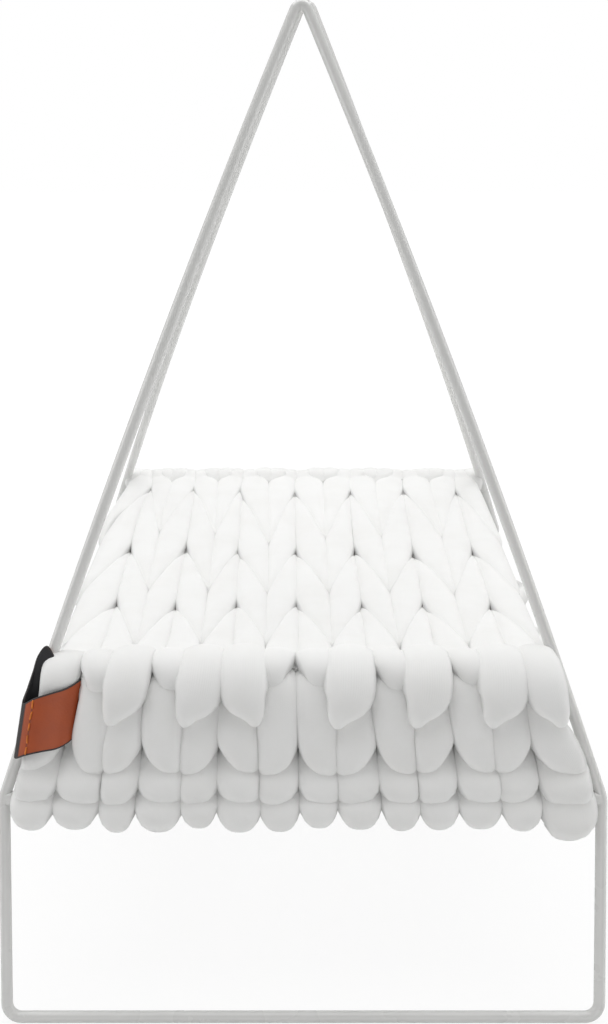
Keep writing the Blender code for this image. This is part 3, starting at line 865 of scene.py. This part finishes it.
def grain_group():
    """Fine grain: noise mixed with small cells, as a mask and as a bumped normal."""
    inputs = {
        "Vector": ("Vector", None),
        "Scale": ("Float", 200),
        "Cells": ("Float", 0.5),
        "Distance": ("Float", 0.0002),
        "Strength": ("Float", 0.5),
    }
    tree, given, result = node_group("grain", inputs, {"Mask": "Float", "Normal": "Vector"})
    noise = add(tree, "TexNoise", Detail=3, Roughness=0.6)
    cells = add(tree, "TexVoronoi", feature="F1")
    for node in (noise, cells):
        for key in ("Vector", "Scale"):
            link(given, key, node, key)
    blend = add(tree, "Mix", data_type="FLOAT")
    link(given, "Cells", blend, 0)
    link(noise, "Fac", blend, 2)
    link(cells, "Distance", blend, 3)
    bump = add(tree, "Bump")
    for key in ("Strength", "Distance"):
        link(given, key, bump, key)
    link(blend, 0, bump, "Height")
    link(blend, 0, result, "Mask")
    link(bump, "Normal", result, "Normal")
    return tree


def patches_group():
    """Soft uneven patches between two colours, as age and handling leave them."""
    inputs = {
        "Vector": ("Vector", None),
        "Scale": ("Float", 10),
        "Amount": ("Float", 1),
        "Colour": ("Color", (0.8, 0.8, 0.8, 1)),
        "Worn": ("Color", (0.7, 0.7, 0.7, 1)),
    }
    tree, given, result = node_group("patches", inputs, {"Colour": "Color", "Mask": "Float"})
    noise = add(tree, "TexNoise", Detail=5, Roughness=0.55)
    for key in ("Vector", "Scale"):
        link(given, key, noise, key)
    spread = add(tree, "MapRange", interpolation_type="SMOOTHSTEP", From_Min=0.35, From_Max=0.72)
    link(noise, "Fac", spread, "Value")
    amount = add(tree, "Math", operation="MULTIPLY")
    link(spread, "Result", amount, 0)
    link(given, "Amount", amount, 1)
    blend = add(tree, "Mix", data_type="RGBA")
    link(amount, 0, blend, 0)
    link(given, "Colour", blend, 6)
    link(given, "Worn", blend, 7)
    link(blend, 2, result, "Colour")
    link(amount, 0, result, "Mask")
    return tree


def rgba(colour, shade=1.0):
    """A colour times a shade, or its parts times one each, with full alpha."""
    return (*np.multiply(tuple(colour), shade), 1)


def masked(tree, mask, source, colour):
    """The colour of a source, or another where the mask on the points says so."""
    spots = add(tree, "Attribute", attribute_name=mask)
    mix = add(tree, "Mix", data_type="RGBA")
    link(spots, "Fac", mix, 0)
    link(source, "Colour", mix, 6)
    mix.inputs[7].default_value = colour
    return mix


def cotton_material(name, colour):
    """White jersey: fine ribs along the tube, soft crease bumps, painted shade on the tube's
    creased sides, and a matt, slightly fuzzy face.
    """
    made, tree, shader = new_material(name)
    uv = add(tree, "UVMap", uv_map="UVMap")
    colours = {"Colour": rgba(colour), "Worn": rgba(colour, (0.955, 0.95, 0.94))}
    patches = use_group(tree, patches_group, uv, "UV", Scale=22, Amount=0.5, **colours)
    grain = use_group(
        tree, grain_group, uv, "UV", Scale=900, Cells=0.3, Distance=0.00012, Strength=0.35
    )
    ribs = add(tree, "TexWave", bands_direction="Y", Scale=250, Distortion=1.2, Detail_Scale=1.5)
    link(uv, "UV", ribs, "Vector")
    rib_bump = add(tree, "Bump", Strength=0.35, Distance=0.0002)
    link(ribs, "Fac", rib_bump, "Height")
    link(grain, "Normal", rib_bump, "Normal")
    stretched = add(tree, "Mapping", Scale=(1, 0.35, 1))
    link(uv, "UV", stretched, "Vector")
    creases = add(tree, "TexNoise", Scale=38, Detail=2)
    link(stretched, "Vector", creases, "Vector")
    crease_bump = add(tree, "Bump", Strength=0.28, Distance=0.004)
    link(creases, "Fac", crease_bump, "Height")
    link(rib_bump, "Normal", crease_bump, "Normal")
    # Painted shade: where the crease mask says so, a darker copy of the colour
    link(masked(tree, "crease_shade", patches, rgba(colour, 0.72)), 2, shader, "Base Color")
    link(crease_bump, "Normal", shader, "Normal")
    give(shader, Roughness=0.92, Specular_IOR_Level=0.12, Sheen_Weight=0.12, Sheen_Roughness=0.6)
    return made


def patched(tree, colour, worn, scale, amount):
    """Object coordinates, and a colour with patches of another over them."""
    place = add(tree, "TexCoord")
    values = {"Scale": scale, "Amount": amount, "Colour": rgba(colour), "Worn": worn}
    return place, use_group(tree, patches_group, place, "Object", **values)


def coat_material(name, colour):
    """White powder coat: faint orange peel and slightly duller, greyer worn patches."""
    made, tree, shader = new_material(name)
    place, patches = patched(tree, colour, rgba(colour, 0.93), scale=9, amount=0.6)
    grain = use_group(
        tree, grain_group, place, "Object", Scale=700, Cells=0.25, Distance=0.00004, Strength=0.12
    )
    dull = add(tree, "MapRange", To_Min=0.24, To_Max=0.36)
    link(patches, "Mask", dull, "Value")
    link(patches, "Colour", shader, "Base Color")
    link(dull, "Result", shader, "Roughness")
    link(grain, "Normal", shader, "Normal")
    give(shader, Coat_Weight=0.5, Coat_Roughness=0.12)
    return made


# Dark edge paint; where the mask is weaker it is also painted shade along the stitch groove
EDGE_PAINT_AND_GROOVE_SHADE = (0.030, 0.024, 0.024, 1)


def leather_material(name, colour, worn, scale=420, gloss=0.45):
    """Leather: pebbled grain, uneven dye, and where the mask says so dark painted edges and painted
    shade along the stitch groove.
    """
    made, tree, shader = new_material(name)
    place, patches = patched(tree, colour, rgba(worn), scale=45, amount=0.8)
    grain = use_group(
        tree, grain_group, place, "Object", Scale=scale, Cells=0.7, Distance=0.0003, Strength=0.5
    )
    # The edge mask carries the painted edges and seam, and painted shade along the stitch groove
    link(masked(tree, "edge", patches, EDGE_PAINT_AND_GROOVE_SHADE), 2, shader, "Base Color")
    link(grain, "Normal", shader, "Normal")
    give(shader, Roughness=gloss)
    return made


def thread_material(name, colour):
    """Waxed thread: twisted strands along its length, with uneven colour."""
    made, tree, shader = new_material(name)
    place, patches = patched(tree, colour, rgba(colour, 0.6), scale=260, amount=1)
    twist = add(tree, "TexWave", bands_direction="DIAGONAL", Scale=700)
    link(place, "Object", twist, "Vector")
    bump = add(tree, "Bump", Strength=0.5, Distance=0.0002)
    link(twist, "Fac", bump, "Height")
    link(patches, "Colour", shader, "Base Color")
    link(bump, "Normal", shader, "Normal")
    give(shader, Roughness=0.5)
    return made


# Settings that a user may change


def length_setting(name, description, default):
    return FloatProperty(
        name=name, description=description, default=default, min=0.0001, precision=5, unit="LENGTH"
    )


def colour_setting(name, description, default):
    return FloatVectorProperty(
        name=name, description=description, default=default, subtype="COLOR", min=0, max=1
    )


def sides_setting(description, default):
    return IntProperty(name="Sides", description=description, default=default, min=8, max=96)


class CatBedKnit(bpy.types.PropertyGroup):
    thickness: length_setting("Tube thickness", "How deep the stuffed tube is", 0.021)
    ring_gap: length_setting("Ring gap", "Distance between rings of points along it", 0.0042)
    sides: sides_setting("Points round the stuffed tube", 22)
    colour: colour_setting("Cotton colour", "Colour of the knitted tube", (0.905, 0.905, 0.895))


class CatBedFrame(bpy.types.PropertyGroup):
    rod: length_setting("Rod diameter", "Thickness of the two bent loops", 2 * ROD_RADIUS)
    sides: sides_setting("Points round the rod", 32)
    colour: colour_setting("Coat colour", "Colour of the frame's powder coat", (0.74, 0.74, 0.725))


class CatBedLabel(bpy.types.PropertyGroup):
    leather_thickness: length_setting("Leather thickness", "Of the outer layer", 0.0016)
    lining_thickness: length_setting("Lining thickness", "Of the inner layer", 0.0010)
    stitch_inset: length_setting("Stitch inset", "From the seam to the stitches", 0.0145)
    thread_thickness: length_setting("Thread thickness", "Of the stitches", 0.0017)
    leather: colour_setting("Leather colour", "Of the label's outer layer", (0.42, 0.078, 0.018))
    lining: colour_setting("Lining colour", "Of the label's inner layer", (0.020, 0.020, 0.022))
    thread: colour_setting("Thread colour", "Colour of the stitches", (0.75, 0.20, 0.02))


def place_piece(made, material, node, slot):
    """Gives a new piece its material and body, and hides the node that it stands for. The slot is
    not used.
    """
    made.data.materials.append(material)
    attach(made, "root")
    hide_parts(node)


class CATBED_OT_frame(bpy.types.Operator):
    """Makes the two bent rod loops and coats the whole frame"""

    bl_idname = "catbed.frame"
    bl_label = "Rod Frame"

    def execute(self, context):
        settings = context.scene.cat_bed_frame
        coat = coat_material("powder coat", settings.colour)
        path = loop_path()
        for end, word in ((FRONT, "front"), (BACK, "back")):
            line = on_loop(path[:, 0], path[:, 1], 0.0, end)
            across = np.broadcast_to([0.0, end * COS, SIN], line.shape)
            half = settings.rod / 2
            grid = tube(line, across, half, half, settings.sides, closed=True)
            made = grids_object(f"{word}_rod_loop", [grid], wrap_rows=True)
            place_piece(made, coat, f"{word}_loop", "frame")
        for name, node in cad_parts.items():
            if "bar" in name or "rail" in name or "weld" in name:
                node.data.materials.clear()
                node.data.materials.append(coat)
        return {"FINISHED"}


class CATBED_OT_knit(bpy.types.Operator):
    """Knits the bed and both hanging ends from one thick stuffed tube"""

    bl_idname = "catbed.knit"
    bl_label = "Knitted Bed"

    def execute(self, context):
        settings = context.scene.cat_bed_knit
        cotton = cotton_material("cotton jersey", settings.colour)
        names = {"front": "knit_front_drop", "bed": "knit_bed", "back": "knit_back_drop"}
        for key, courses in knit_courses(settings).items():
            grids, uvs, creases = zip(*courses)
            # The crease mask marks the painted shade on the tubes' creased sides
            masks = {"crease_shade": np.concatenate(creases)}
            made = grids_object(f"yarn_{key}", grids, uvs=np.concatenate(uvs), masks=masks)
            place_piece(made, cotton, names[key], "knit")
        return {"FINISHED"}


class CATBED_OT_label(bpy.types.Operator):
    """Makes the folded leather label, its lining and its stitches"""

    bl_idname = "catbed.label"
    bl_label = "Leather Label"

    def execute(self, context):
        settings = context.scene.cat_bed_label
        leather = leather_material("brown leather", settings.leather, (0.36, 0.070, 0.022))
        lining = leather_material(
            "black lining", settings.lining, (0.030, 0.030, 0.033), scale=900, gloss=0.7
        )
        thread = thread_material("orange thread", settings.thread)
        outer, inner = settings.leather_thickness, settings.lining_thickness
        for name, paint, depth, thick, short in (
            ("label_leather", leather, 0.0, outer, 0.0),
            ("label_lining", lining, outer + GAP, inner, LINING_SHORT),
        ):
            # The edge mask also holds painted shade along the stitch groove
            points, uv, edge = label_band(depth, thick, short, settings.stitch_inset)
            made = grids_object(
                f"{name}_band", [points], wrap_rows=True, uvs=uv, masks={"edge": edge}
            )
            place_piece(made, paint, name, name)
        for number, grid in stitch_threads(settings.stitch_inset, settings.thread_thickness):
            made = grids_object(f"stitch_{number}", [grid])
            place_piece(made, thread, f"label_stitch_{number}", "label_thread")
        return {"FINISHED"}


FLOOR_HALF = 6.0
FLOOR_DROP = 0.0002
# Name, place, side length, watts and the point that the lamp looks at
SOFTBOXES = (
    ("top softbox", (0, 0.6, 2.6), 2.4, 39, (0, 0, 0.3)),
    ("low front softbox", (0, -2.2, 0.1), 1.5, 9.4, (0, -0.3, 0.2)),
    ("left softbox", (-2, -0.3, 1.2), 1.6, 12, (0, 0, 0.4)),
    ("right softbox", (2, -0.3, 1.2), 1.6, 12, (0, 0, 0.4)),
)
CAMERA_PLACE = (0.0007, -1.148, 0.867)
CAMERA_TILT = math.radians(23.6)
# Focal length over the picture's height, in pixels
FOCAL_SHARE = 1064 / 1024


def floor_material():
    """A matt floor that the camera sees as nearly white, a little darker near the object."""
    made, tree, shader = new_material("pale floor")
    give(shader, Base_Color=(0.9, 0.9, 0.9, 1), Roughness=0.9)
    paths = add(tree, "LightPath")
    glow = add(tree, "Emission", Color=(1, 1, 1, 1), Strength=1.03)
    place = add(tree, "TexCoord")
    far = add(tree, "VectorMath", operation="LENGTH")
    fade = add(tree, "MapRange", interpolation_type="SMOOTHSTEP")
    give(fade, From_Min=0.45, From_Max=1.3, To_Min=0.86, To_Max=1)
    share = add(tree, "Math", operation="MULTIPLY")
    mix = add(tree, "MixShader")
    link(place, "Object", far, 0)
    link(far, "Value", fade, "Value")
    link(paths, "Is Camera Ray", share, 0)
    link(fade, "Result", share, 1)
    link(share, 0, mix, "Fac")
    link(shader, 0, mix, 1)
    link(glow, 0, mix, 2)
    link(mix, 0, tree.nodes["Material Output"], "Surface")
    return made


def studio_world():
    """A white surround that lights the object more from behind than from the front."""
    world = bpy.data.worlds.new("studio")
    world.use_nodes = True
    tree = world.node_tree
    background = give(tree.nodes["Background"], Color=(1, 1, 1, 1))
    way = add(tree, "TexCoord")
    parts = add(tree, "SeparateXYZ")
    side = add(tree, "MapRange", From_Min=-0.9, From_Max=0.3, To_Min=0.17, To_Max=0.48)
    paths = add(tree, "LightPath")
    level = add(tree, "Mix", data_type="FLOAT")
    level.inputs[3].default_value = 1.0
    link(way, "Generated", parts, 0)
    link(parts, "Y", side, "Value")
    link(paths, "Is Camera Ray", level, 0)
    link(side, "Result", level, 2)
    link(level, 0, background, "Strength")
    return world


class CATBED_OT_stage(bpy.types.Operator):
    """Sets the pale floor, the soft studio light and the camera"""

    bl_idname = "catbed.stage"
    bl_label = "Stage"

    def execute(self, context):
        scene = context.scene
        scene.view_settings.view_transform = "Standard"
        scene.world = studio_world()
        corners = np.array([(-1, -1), (1, -1), (1, 1), (-1, 1)]) * FLOOR_HALF
        corners = np.column_stack([corners, np.full(4, -FLOOR_DROP)])
        floor = mesh_object("floor", corners, [[0, 1, 2, 3]])
        floor.data.materials.append(floor_material())
        floor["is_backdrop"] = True
        for name, place, size, power, aim in SOFTBOXES:
            data = bpy.data.lights.new(name, "AREA")
            data.shape, data.size, data.energy = "SQUARE", size, power
            lamp = bpy.data.objects.new(name, data)
            scene.collection.objects.link(lamp)
            lamp.location = place
            way = Vector(np.subtract(aim, place))
            lamp.rotation_euler = way.to_track_quat("-Z", "Y").to_euler()
        data = bpy.data.cameras.new("camera")
        data.sensor_fit = "AUTO"
        data.sensor_width = 36.0
        data.lens = data.sensor_width * FOCAL_SHARE
        camera = bpy.data.objects.new("camera", data)
        camera.location = CAMERA_PLACE
        camera.rotation_euler = (math.radians(90) - CAMERA_TILT, 0, 0)
        scene.collection.objects.link(camera)
        scene.camera = camera
        return {"FINISHED"}


class CATBED_PT_panel(bpy.types.Panel):
    """Lists the pieces of the cat bed"""

    bl_idname = "CATBED_PT_panel"
    bl_label = "Cat Bed"
    bl_space_type = "VIEW_3D"
    bl_region_type = "UI"
    bl_category = "Cat Bed"

    def draw(self, context):
        for step in STEPS:
            self.layout.operator(step.bl_idname)


STEPS = (CATBED_OT_frame, CATBED_OT_knit, CATBED_OT_label, CATBED_OT_stage)
GROUPS = {"cat_bed_knit": CatBedKnit, "cat_bed_frame": CatBedFrame, "cat_bed_label": CatBedLabel}


def register():
    for kind in (*GROUPS.values(), *STEPS, CATBED_PT_panel):
        bpy.utils.register_class(kind)
    for key, kind in GROUPS.items():
        setattr(bpy.types.Scene, key, PointerProperty(type=kind))


def unregister():
    for key in GROUPS:
        delattr(bpy.types.Scene, key)
    for kind in (CATBED_PT_panel, *reversed(STEPS), *GROUPS.values()):
        bpy.utils.unregister_class(kind)


def main():
    register()
    bpy.ops.catbed.frame()
    bpy.ops.catbed.knit()
    bpy.ops.catbed.label()
    bpy.ops.catbed.stage()
    [np.array(b).tolist() for b in (CAD_BOX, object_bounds())]


if __name__ == "__main__":
    main()
